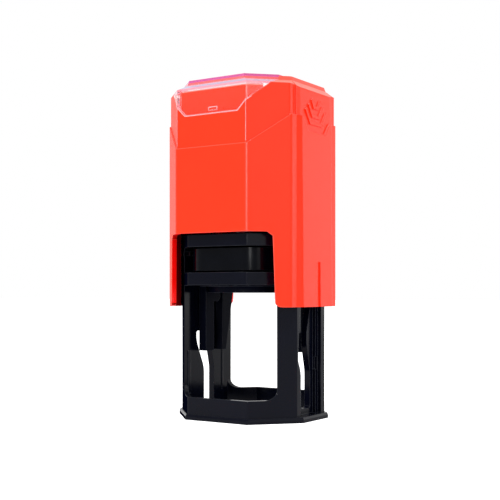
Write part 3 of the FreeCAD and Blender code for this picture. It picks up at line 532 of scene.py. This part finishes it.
def steel(finishes, name, axis):
    """Turned or drawn steel, with fine rings round one axis."""
    graph = Finish(name)
    scales = [60.0, 60.0, 60.0]
    scales[axis] = 2400.0
    place = graph.node("Mapping", {"Vector": graph.place, "Scale": scales}).outputs[0]
    rings = graph.noise(scale=1.0, detail=4.0, roughness=0.6, place=place)
    graph.set(
        Base_Color=graph.mix(graph.ramp(rings, *SPREAD), shaded(finishes.steel, 0.85), rgba(finishes.steel)),
        Metallic=1.0,
        Roughness=graph.ramp(rings, *SPREAD, 0.22, 0.4),
        Normal=graph.bump(rings, 0.15, 0.02 * MM),
    )
    return graph.material


# Meshes

def finish_node(name, material):
    """Puts a finish on a CAD node."""
    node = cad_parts[name]
    node.data.materials.clear()
    node.data.materials.append(material)


def new_piece(name, mesh, material, body):
    """Turns a bmesh into a smooth object that rides on a body."""
    data = bpy.data.meshes.new(name)
    mesh.to_mesh(data)
    mesh.free()
    data.materials.append(material)
    for polygon in data.polygons:
        polygon.use_smooth = True
    piece = bpy.data.objects.new(name, data)
    bpy.context.scene.collection.objects.link(piece)
    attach(piece, body)
    return piece


def rounded_disc(low, high, edge):
    """A flat round pad between two corners of a box, its rims rounded."""
    mesh = bmesh.new()
    radius = (high.x - low.x) / 2
    centre = (low + high) / 2
    bmesh.ops.create_circle(mesh, cap_ends=True, radius=radius, segments=DISC_SIDES)
    bmesh.ops.translate(mesh, vec=(centre.x, centre.y, low.z), verts=mesh.verts)
    grown = bmesh.ops.extrude_face_region(mesh, geom=mesh.faces[:])
    moved = [v for v in grown["geom"] if isinstance(v, bmesh.types.BMVert)]
    bmesh.ops.translate(mesh, vec=(0, 0, high.z - low.z), verts=moved)
    bmesh.ops.recalc_face_normals(mesh, faces=mesh.faces)
    rims = [e for e in mesh.edges if abs(e.verts[0].co.z - e.verts[1].co.z) < TOUCHING]
    bmesh.ops.bevel(
        mesh, geom=rims, offset=edge, segments=RIM_SEGMENTS, profile=0.5, affect="EDGES", material=-1,
        clamp_overlap=True,
    )
    step = radius / (DISC_RINGS + 2)
    for face in [f for f in mesh.faces if len(f.verts) == DISC_SIDES]:
        for _ in range(DISC_RINGS):
            bmesh.ops.inset_region(mesh, faces=[face], thickness=step, use_even_offset=True)
    return mesh


def wound_wire(radius, wire, low, high, turns):
    """A round wire wound from one height to another, its end turns closed."""
    mesh = bmesh.new()
    made = bmesh.ops.create_circle(mesh, cap_ends=True, radius=wire / 2, segments=WIRE_SIDES)
    place = Matrix.Translation((radius, 0, low + wire / 2)) @ Matrix.Rotation(math.radians(90), 4, "X")
    bmesh.ops.transform(mesh, matrix=place, verts=made["verts"])
    closed = wire * CLOSED_PITCH
    open_rise = (high - low - wire - 2 * closed) / turns
    tip = mesh.faces[:]
    for rise, count in ((closed, 1), (open_rise, turns), (closed, 1)):
        edges = [e for f in tip for e in f.edges]
        corners = [v for f in tip for v in f.verts]
        grown = bmesh.ops.spin(
            mesh, geom=tip + edges + corners, cent=(0, 0, 0), axis=(0, 0, 1),
            dvec=(0, 0, rise / TURN_STEPS), angle=2 * math.pi * count, steps=TURN_STEPS * count,
            use_merge=False, use_duplicate=False,
        )
        tip = [f for f in grown["geom_last"] if isinstance(f, bmesh.types.BMFace)]
    bmesh.ops.remove_doubles(mesh, verts=mesh.verts, dist=TOUCHING)
    bmesh.ops.recalc_face_normals(mesh, faces=mesh.faces)
    return mesh


# Operators

class STAMP_OT_casing(Operator):
    """Finish the casing in orange plastic"""

    bl_idname = "stamp.casing"
    bl_label = "Casing"

    def execute(self, context):
        scene = context.scene
        finish_node("casing", orange_plastic(scene.stamp_finishes, scene.stamp_sizes))
        return {"FINISHED"}


class STAMP_OT_black_parts(Operator):
    """Finish the frame, the foot ring, the yoke and the die's carrier in black plastic"""

    bl_idname = "stamp.black_parts"
    bl_label = "Black Parts"

    def execute(self, context):
        finishes = context.scene.stamp_finishes
        sizes = context.scene.stamp_sizes
        black = black_plastic(finishes, sizes)
        for name in ("frame", "foot_ring", "yoke"):
            finish_node(name, black)
        matt = black_plastic(finishes, sizes, name="matt_black_plastic", roughness=0.4, shine=0.02)
        finish_node("die_carrier", matt)
        return {"FINISHED"}


class STAMP_OT_cap(Operator):
    """Finish the clear cap and the card under it"""

    bl_idname = "stamp.cap"
    bl_label = "Cap and Card"

    def execute(self, context):
        scene = context.scene
        finish_node("clear_cap", clear_plastic(scene.stamp_finishes, scene.stamp_sizes))
        # The cap dims nothing under it, and throws no second light on it.
        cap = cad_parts["clear_cap"]
        cap.visible_shadow = False
        cap.visible_diffuse = False
        finish_node("index_card", card_stock(scene.stamp_finishes))
        return {"FINISHED"}


class STAMP_OT_cartridge(Operator):
    """Finish the cartridge and model its felt pad and cloth"""

    bl_idname = "stamp.cartridge"
    bl_label = "Cartridge"

    def execute(self, context):
        finishes = context.scene.stamp_finishes
        sizes = context.scene.stamp_sizes
        plastic = black_plastic(
            finishes, sizes, name="cartridge_plastic", tint=finishes.cartridge, roughness=0.1, shine=0.065
        )
        finish_node("cartridge_tray", plastic)
        pad = rounded_disc(PAD_LOW, PAD_HIGH, sizes.felt_edge)
        pad = new_piece("felt_pad", pad, felt(finishes), "cartridge")
        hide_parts("ink_pad")
        cloth = rounded_disc(CLOTH_LOW, CLOTH_HIGH, sizes.cloth_edge)
        cloth = new_piece("cloth_cover", cloth, woven_cloth(finishes), "cartridge")
        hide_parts("pad_cloth")
        return {"FINISHED"}


class STAMP_OT_die(Operator):
    """Finish the rubber die and the pins, and model the foam under the die"""

    bl_idname = "stamp.die"
    bl_label = "Die"

    def execute(self, context):
        finishes = context.scene.stamp_finishes
        sizes = context.scene.stamp_sizes
        finish_node("rubber_die", die_rubber(finishes, sizes))
        pin = steel(finishes, "pin_steel", 0)
        finish_node("axle_pin_left", pin)
        finish_node("axle_pin_right", pin)
        foam = rounded_disc(CUSHION_LOW, CUSHION_HIGH, sizes.foam_edge)
        foam = new_piece("foam_layer", foam, foam_rubber(finishes), "die")
        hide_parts("foam_cushion")
        return {"FINISHED"}


class STAMP_OT_spring(Operator):
    """Wind the return spring"""

    bl_idname = "stamp.spring"
    bl_label = "Return Spring"

    def execute(self, context):
        sizes = context.scene.stamp_sizes
        radius = (SPRING_HIGH.x - SPRING_LOW.x) / 2 - sizes.wire / 2
        wound = steel(context.scene.stamp_finishes, "spring_steel", 2)
        coil = wound_wire(radius, sizes.wire, SPRING_LOW.z, SPRING_HIGH.z, sizes.active_turns)
        coil = new_piece("coil_spring", coil, wound, "base")
        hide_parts("return_spring")
        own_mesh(coil)
        return {"FINISHED"}


class STAMP_OT_studio(Operator):
    """Set up the floor, the light and the camera"""

    bl_idname = "stamp.studio"
    bl_label = "Studio"

    def execute(self, context):
        scene = context.scene
        lay_floor()
        light_world(scene)
        place_lamps()
        place_camera(scene)
        scene.view_settings.view_transform = "Standard"
        return {"FINISHED"}


# Studio

def lay_floor():
    """A matt floor that the camera sees as white, except in the stamp's shadow."""
    mesh = bmesh.new()
    bmesh.ops.create_grid(mesh, x_segments=4, y_segments=4, size=FLOOR_HALF)
    data = bpy.data.meshes.new("floor")
    mesh.to_mesh(data)
    mesh.free()
    floor = bpy.data.objects.new("floor", data)
    bpy.context.scene.collection.objects.link(floor)
    graph = Finish("floor_paper")
    graph.set(Base_Color=FLOOR_COLOUR, Roughness=0.9, Specular_IOR_Level=0.0)
    paper = graph.shader.outputs[0]
    glow = graph.node("Emission", {"Color": WHITE, "Strength": FLOOR_GLOW}).outputs[0]
    both = graph.node("AddShader", {0: paper, 1: glow}).outputs[0]
    surface = graph.node("MixShader", {0: graph.shows_background(), 1: paper, 2: both}).outputs[0]
    graph.put(graph.tree.nodes["Material Output"].inputs[0], surface)
    data.materials.append(graph.material)


def light_world(scene):
    """An even light from all round, which shows as white in the background."""
    world = bpy.data.worlds.new("studio")
    scene.world = world
    world.use_nodes = True
    graph = Graph(world.node_tree)
    background = graph.tree.nodes["Background"]
    graph.put(background.inputs["Color"], WHITE)
    level = graph.ramp(graph.shows_background(), 0.0, 1.0, WORLD_LIGHT, WORLD_SHOWN)
    graph.put(background.inputs["Strength"], level)


def place_lamps():
    """Square lamps round the stamp. The key isn't mirrored, and the glint is only mirrored."""
    for name, place, power, size in LAMPS:
        lamp = bpy.data.lights.new(name, "AREA")
        lamp.energy = power
        lamp.size = size
        holder = bpy.data.objects.new(name, lamp)
        holder.location = place
        aim = LAMP_AIM - Vector(place)
        holder.rotation_euler = aim.to_track_quat("-Z", "Y").to_euler()
        holder.visible_diffuse = name != "glint"
        holder.visible_glossy = name != "key"
        holder.visible_transmission = name != "key"
        bpy.context.scene.collection.objects.link(holder)


def place_camera(scene):
    """A level camera, its lens shifted up."""
    studio = scene.stamp_studio
    ahead = Vector((-math.sin(studio.azimuth), math.cos(studio.azimuth), 0))
    across = Vector((ahead.y, -ahead.x, 0))
    up = Vector((0, 0, 1))
    lens = bpy.data.cameras.new("camera")
    lens.sensor_width = 36.0
    lens.lens = studio.focal_length
    lens.shift_y = studio.rise
    lens.clip_start = 0.01
    lens.clip_end = 20.0
    camera = bpy.data.objects.new("camera", lens)
    camera.location = up * studio.eye_height - across * studio.side_step - ahead * studio.distance
    camera.rotation_euler = (math.radians(90), 0, studio.azimuth)
    scene.collection.objects.link(camera)
    scene.camera = camera


# Registration

STEPS = (
    STAMP_OT_casing,
    STAMP_OT_black_parts,
    STAMP_OT_cap,
    STAMP_OT_cartridge,
    STAMP_OT_die,
    STAMP_OT_spring,
    STAMP_OT_studio,
)


class STAMP_PT_panel(Panel):
    """Lists the stamp's steps in the sidebar"""

    bl_idname = "STAMP_PT_panel"
    bl_label = "Round Stamp"
    bl_space_type = "VIEW_3D"
    bl_region_type = "UI"
    bl_category = "Stamp"

    def draw(self, context):
        for operator in STEPS:
            self.layout.operator(operator.bl_idname)


CLASSES = (StampSizes, StampFinishes, StampStudio, *STEPS, STAMP_PT_panel)


def register():
    for item in CLASSES:
        bpy.utils.register_class(item)
    bpy.types.Scene.stamp_sizes = PointerProperty(type=StampSizes)
    bpy.types.Scene.stamp_finishes = PointerProperty(type=StampFinishes)
    bpy.types.Scene.stamp_studio = PointerProperty(type=StampStudio)


def unregister():
    del bpy.types.Scene.stamp_studio
    del bpy.types.Scene.stamp_finishes
    del bpy.types.Scene.stamp_sizes
    for item in reversed(CLASSES):
        bpy.utils.unregister_class(item)


def main():
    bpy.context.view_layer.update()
    register()
    bpy.ops.stamp.casing()
    bpy.ops.stamp.black_parts()
    bpy.ops.stamp.cap()
    bpy.ops.stamp.cartridge()
    bpy.ops.stamp.die()
    bpy.ops.stamp.spring()
    bpy.ops.stamp.studio()
    bpy.context.view_layer.update()


if __name__ == "__main__":
    main()
